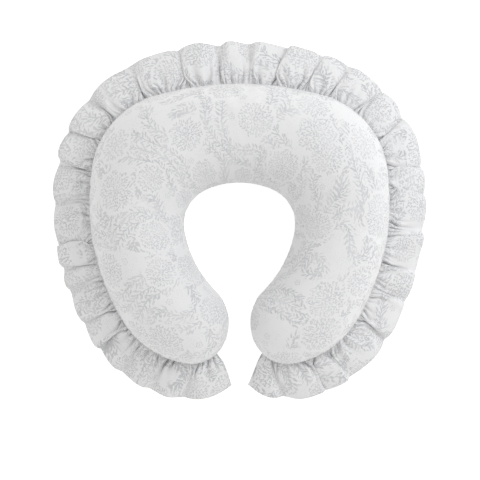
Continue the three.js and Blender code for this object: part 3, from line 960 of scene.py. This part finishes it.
class Print:
    """The cloth's tone-on-tone print: round heads of florets, scrolling stems with narrow leaves,
    small blossoms and fine dots. Lengths are in millimetres."""

    HEAD_PITCH, HEAD_RADIUS, FLORET_PITCH = 88.0, 28.0, 3.9
    STEM_RUN, STEM_CURL, STEM_CURL_PITCH = (0.026, 0.013, 0.0), 3.6, 78.0
    LEAF_PITCH, LEAF_REACH = 6.0, 8.5
    BLOSSOM_PITCH = 27.0
    DOT_PITCH = 2.7

    def __init__(self, finish):
        self.finish = finish
        cloth = finish.node("ShaderNodeAttribute", {"attribute_name": "cloth"}, (), "Vector")
        self.place = finish.scaled(cloth, 1000.0)

    def cells(self, place, pitch, spread, shift):
        """The nearest centre of a scattered lattice: its place, the way to it, and two chances."""
        finish = self.finish
        lattice = finish.vector("ADD", finish.scaled(place, 1 / pitch), (shift, -shift, 0.0))
        settings = {"voronoi_dimensions": "2D"}
        inputs = {"Vector": lattice, "Scale": 1.0, "Randomness": spread}
        centre = finish.node("ShaderNodeTexVoronoi", settings, inputs, "Position")
        lot = finish.node("ShaderNodeTexVoronoi", settings, inputs, "Color")
        away = finish.scaled(finish.vector("SUBTRACT", lattice, centre), pitch)
        home = finish.scaled(finish.vector("ADD", centre, (-shift, shift, 0.0)), pitch)
        chance = finish.node("ShaderNodeSeparateColor", None, (lot,), 0)
        other = finish.node("ShaderNodeSeparateColor", None, (lot,), 1)
        return home, finish.split(away)[:2], chance, other

    def polar(self, x, y):
        radius = (x * x + y * y) ** 0.5
        return radius, self.finish.maths("ARCTAN2", y, x)

    def stem_level(self, place):
        run = self.finish.vector("DOT_PRODUCT", place, self.STEM_RUN, output=1)
        return run + self.finish.noise(place, 1 / self.STEM_CURL_PITCH, 0.3, "2D") * self.STEM_CURL

    def stems(self, place):
        """Distance to the nearest stem, and the slope across it."""
        shifts = ((0.0, 0.0, 0.0), (1.0, 0.0, 0.0), (0.0, 1.0, 0.0))
        level = [self.stem_level(self.finish.vector("ADD", place, shift)) for shift in shifts]
        x, y = level[1] - level[0], level[2] - level[0]
        steep = (x * x + y * y) ** 0.5 + 0.006
        return (level[0].maths("FRACT") - 0.5) / steep, x / steep, y / steep

    def head_at(self, place):
        """The way to the middle of the nearest head, and how far inside its edge a place is."""
        _, (x, y), lot, other = self.cells(place, self.HEAD_PITCH, 0.7, 0.31)
        radius, angle = self.polar(x, y)
        edge = self.HEAD_RADIUS * (0.78 + other * 0.36)
        edge = edge * (1 + 0.06 * (angle * 9.0 + lot * 6.0).maths("COSINE"))
        return x / radius, y / radius, edge - radius, radius

    def leaf(self, away, on_x, on_y, length, breadth):
        """A pointed leaf that lies along (on_x, on_y)."""
        x, y = away
        along = x * on_x + y * on_y
        broad = x * on_y - y * on_x
        taper = 1 - (along / length) ** 2
        return self.finish.stretch(taper * breadth - abs(broad), -0.15, 0.35)

    def turned(self, x, y, angle):
        cosine, sine = angle.maths("COSINE"), angle.maths("SINE")
        return x * cosine - y * sine, x * sine + y * cosine

    def heads(self):
        """Round heads of florets that fan out from the middle, and the ground they take."""
        finish = self.finish
        _, _, depth, radius = self.head_at(self.place)
        ground = finish.stretch(depth, -5.5, -3.5)
        ink = 0.0
        for shift, pitch in ((0.21, self.FLORET_PITCH), (0.66, self.FLORET_PITCH * 1.35)):
            home, away, lot, other = self.cells(self.place, pitch, 0.75, shift)
            x, y, inside, _ = self.head_at(home)
            on_x, on_y = self.turned(x, y, (lot - 0.5) * 1.9)
            floret = self.leaf(away, on_x, on_y, pitch * (0.4 + 0.25 * other), pitch * 0.19)
            ink = (floret * (inside > 0.0)).maths("MAXIMUM", ink)
        heart = (1 - finish.stretch(abs(radius - 3.4), 0.4, 1.1)) * 0.8
        return ground, ink.maths("MAXIMUM", heart)

    def leaves(self, clear):
        """Narrow leaves set out from the stems on both sides."""
        ink = 0.0
        for shift, pitch in ((0.0, self.LEAF_PITCH), (0.43, self.LEAF_PITCH * 1.4)):
            home, away, lot, other = self.cells(self.place, pitch, 0.7, shift)
            gap, across_x, across_y = self.stems(home)
            side = gap.maths("SIGN")
            lean = 0.75 + 0.5 * (lot - 0.5)
            out, on = side * lean.maths("SINE"), lean.maths("COSINE")
            on_x = across_x * out - across_y * on
            on_y = across_y * out + across_x * on
            leaf = self.leaf(away, on_x, on_y, pitch * (0.42 + 0.2 * other), pitch * 0.145)
            near = 1 - self.finish.stretch(abs(gap), self.LEAF_REACH - 2, self.LEAF_REACH + 2)
            ink = (leaf * near).maths("MAXIMUM", ink)
        return ink * clear

    def blossoms(self, clear):
        """Small five-petalled flowers dotted between the stems."""
        finish = self.finish
        _, (x, y), lot, other = self.cells(self.place, self.BLOSSOM_PITCH, 0.8, 0.17)
        radius, angle = self.polar(x, y)
        edge = 5.2 * (0.5 + 0.5 * abs((angle * 2.5 + lot * 6.0).maths("COSINE")))
        petals = 1 - finish.stretch(abs(edge - radius), 0.3, 0.9)
        heart = 1 - finish.stretch(radius, 0.8, 1.4)
        return petals.maths("MAXIMUM", heart) * (other > 0.4) * clear

    def dots(self, clear):
        """Fine stippling that gathers in drifts and leaves bare ground between them."""
        finish = self.finish
        _, (x, y), lot, other = self.cells(self.place, self.DOT_PITCH, 0.9, 0.05)
        radius, _ = self.polar(x, y * 1.5)
        dot = 1 - finish.stretch(radius, 0.4, 0.5 + 0.5 * other)
        drift = finish.stretch(finish.noise(self.place, 0.045, 1.5, "2D"), 0.42, 0.6)
        return dot * (lot < drift * 0.8) * clear

    def ink(self):
        """The whole print, from 0 on bare cloth to 1."""
        ground, ink = self.heads()
        clear = 1 - ground
        gap, _, _ = self.stems(self.place)
        stem = (1 - self.finish.stretch(abs(gap), 0.3, 0.9)) * clear
        for part in (stem, self.leaves(clear), self.blossoms(clear), self.dots(clear) * 0.8):
            ink = ink.maths("MAXIMUM", part)
        return ink


def plain_weave(finish, place, pitch):
    """Height of a plain weave's threads."""
    x, y, _ = finish.split(finish.scaled(place, 2 * math.pi / pitch))
    return x.maths("SINE") * y.maths("SINE")


def printed_cotton(name, bare, inked):
    finish = Finish(name)
    cloth_print = Print(finish)
    place = cloth_print.place
    fleck = finish.noise(place, 0.9, 2.0)
    patchy = finish.noise(place, 0.03, 1.0)
    worn = cloth_print.ink() * finish.stretch(fleck, 0.3, 0.6, 0.5, 1.0)
    worn = worn * finish.stretch(patchy, 0.35, 0.65, 0.65, 1.0)
    ground = finish.blend(finish.stretch(fleck, 0.35, 0.7), opaque(bare), opaque(bare, 0.955))
    colour = finish.blend(worn, ground, opaque(inked))
    height = plain_weave(finish, place, 0.9) * 0.5 + fleck
    return finish.shade(
        Base_Color=colour, Roughness=finish.stretch(fleck, 0.2, 0.8, 0.86, 0.95),
        Normal=finish.bump(height, 0.12, 0.0006), Sheen_Weight=0.1, Sheen_Roughness=0.5,
        Specular_IOR_Level=0.25)


def ribs(finish, place, pitch):
    """Height of fine ribs that lie level along the piece."""
    return (finish.split(place)[2] * (2 * math.pi / pitch)).maths("SINE")


def tufts(finish, place, scale):
    return finish.noise(place, scale, 4.0) * 3


def grained(name, colour, shade, grain, rough, relief, spread=(0.3, 0.7), over=None, **sockets):
    """A finish with one grain that tints it, roughens it and raises it. Over is a pattern's
    function and its size, for a weave or the like that is raised as well."""
    finish = Finish(name)
    place = finish.millimetres()
    fleck = finish.noise(place, *grain)
    height = over[0](finish, place, over[1]) + fleck if over else fleck
    return finish.shade(
        Base_Color=finish.blend(fleck, opaque(colour), opaque(colour, shade)),
        Roughness=finish.stretch(fleck, *spread, *rough), Normal=finish.bump(height, *relief),
        **sockets)


def zip_webbing(name, colour):
    """Tape woven in fine ribs along its length."""
    finish = Finish(name)
    place = finish.millimetres()
    rib = ribs(finish, place, 0.8)
    slub = finish.noise(place, 1.2, 2.0)
    # The tape is darker in the grooves between its ribs, following the rib height: painted shade.
    tint = finish.blend(finish.stretch(rib, -1.0, 1.0), opaque(colour, 0.92), opaque(colour))
    return finish.shade(
        Base_Color=tint, Roughness=finish.stretch(slub, 0.2, 0.8, 0.78, 0.9),
        Normal=finish.bump(rib + slub, 0.3, 0.0002), Sheen_Weight=0.15)


def moulded(name, colour, roughness, coat=0.0):
    finish = Finish(name)
    place = finish.millimetres()
    speck = finish.noise(place, 0.9, 3.0)
    tint = finish.blend(finish.stretch(speck, 0.3, 0.7), opaque(colour), opaque(colour, 0.95))
    rough = finish.stretch(speck, 0.3, 0.7, roughness * 0.85, roughness * 1.15)
    return finish.shade(
        Base_Color=tint, Roughness=rough, Normal=finish.bump(speck, 0.05, 0.0001),
        Coat_Weight=coat)


def floor_paint(name, colour, glow):
    finish = Finish(name)
    mottle = finish.noise(finish.millimetres(), 0.02, 2.0)
    tint = finish.blend(mottle, opaque(colour), opaque(colour, 0.985))
    return finish.shade(
        Base_Color=tint, Roughness=0.9, Emission_Color=opaque((1, 0.99, 0.975)),
        Emission_Strength=glow)


# ------------------------------------------------------------------ assembly

FLOOR_HALF = 6
FLOOR_GLOW = 0.42
ROUNDED_EDGE = 0.00022
BARE_CLOTH = (0.742, 0.743, 0.751)
METAL_NODES = (
    "zip_top_stop_upper", "zip_top_stop_lower", "zip_bottom_stop", "zip_slider", "zip_pull")


def dress(obj, material):
    obj.data.materials.clear()
    obj.data.materials.append(material)


def stand_in(piece, material, slot, *nodes):
    """Dresses a piece and lets it take the place of its solids on the pillow."""
    dress(piece, material)
    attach(piece, "pillow")
    if nodes:
        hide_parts(*nodes)


def make_floor(material):
    size = FLOOR_HALF
    corners = [(-size, -size, 0), (size, -size, 0), (size, size, 0), (-size, size, 0)]
    floor = mesh_object("floor", corners, [(0, 1, 2, 3)])
    dress(floor, material)


place_camera()
light_studio()
make_floor(floor_paint("floor_paint", (0.93, 0.925, 0.915), FLOOR_GLOW))

cotton = printed_cotton("printed_cotton", BARE_CLOTH, (0.5, 0.508, 0.522))
# The ruffle's copy of the printed cotton: the same cloth and print with darker ink, which is
# painted shade for the shade among its gathers.
ruffle_cotton_painted_shade = printed_cotton("ruffle_cotton_painted_shade", BARE_CLOTH, (0.46, 0.468, 0.482))
casing_cloth = grained(
    "casing_cloth", (0.8, 0.79, 0.77), 0.93, grain=(0.6, 3.0), rough=(0.84, 0.94),
    relief=(0.2, 0.0004), spread=(0.2, 0.8), over=(plain_weave, 0.8), Sheen_Weight=0.1)
polyester = grained(
    "polyester_fibre", (0.85, 0.85, 0.84), 0.9, grain=(1.4, 3.0), rough=(0.9, 1.0),
    relief=(0.5, 0.002), spread=(0.2, 0.8), over=(tufts, 0.08), Sheen_Weight=0.3)
webbing = zip_webbing("zip_tape", (0.74, 0.74, 0.75))
nylon = moulded("zip_coil", (0.75, 0.75, 0.76), 0.4)
lacquer = moulded("white_lacquer", (0.78, 0.78, 0.78), 0.3, 0.3)
satin = grained(
    "label_tape", (0.82, 0.82, 0.82), 0.96, grain=(0.3, 2.0), rough=(0.38, 0.5),
    relief=(0.15, 0.0001), over=(ribs, 0.35), Sheen_Weight=0.2)
cotton_thread = grained(
    "cotton_thread", (0.7, 0.7, 0.71), 0.88, grain=(4.0, 1.0), rough=(0.6, 0.75),
    relief=(0.3, 0.0001))

(upper_panel, lower_panel), (insert_upper, insert_lower), wadding = make_cushion()
for piece, material, slot, node in (
        (upper_panel, cotton, "printed_cotton", "cover_top_panel"),
        (lower_panel, cotton, "printed_cotton", "cover_bottom_panel"),
        (insert_upper, casing_cloth, "casing_cloth", "insert_casing_top"),
        (insert_lower, casing_cloth, "casing_cloth", "insert_casing_bottom"),
        (wadding, polyester, "polyester_fibre", "fibre_fill")):
    stand_in(piece, material, slot, node)

ruffle, hem_stitches = ruffle_pieces()
# The ruffle takes the darker-inked copy of the cotton: painted shade for its gathers.
stand_in(ruffle, ruffle_cotton_painted_shade, "printed_cotton", "ruffle")
stand_in(hem_stitches, cotton_thread, "printed_cotton")
flat_length = 2 * SEAM_LENGTH * FULLNESS

for node, piece in zip_pieces().items():
    coil = "coil" in node
    stand_in(piece, nylon if coil else webbing, "zip_coil" if coil else "zip_tape", node)

panel_tree = surface_of(lower_panel)
stand_in(zip_topstitch(panel_tree), cotton_thread, "printed_cotton")
label, label_stitches = label_pieces(panel_tree)
stand_in(label, satin, "label_tape", "care_label")
stand_in(label_stitches, cotton_thread, "label_tape")

for node in METAL_NODES:
    part = frame["nodes"][node]
    dress(part, lacquer)
    edge = part.modifiers.new("rounded_edges", "BEVEL")
    edge.width = ROUNDED_EDGE
    edge.segments = 2
    edge.limit_method = "ANGLE"
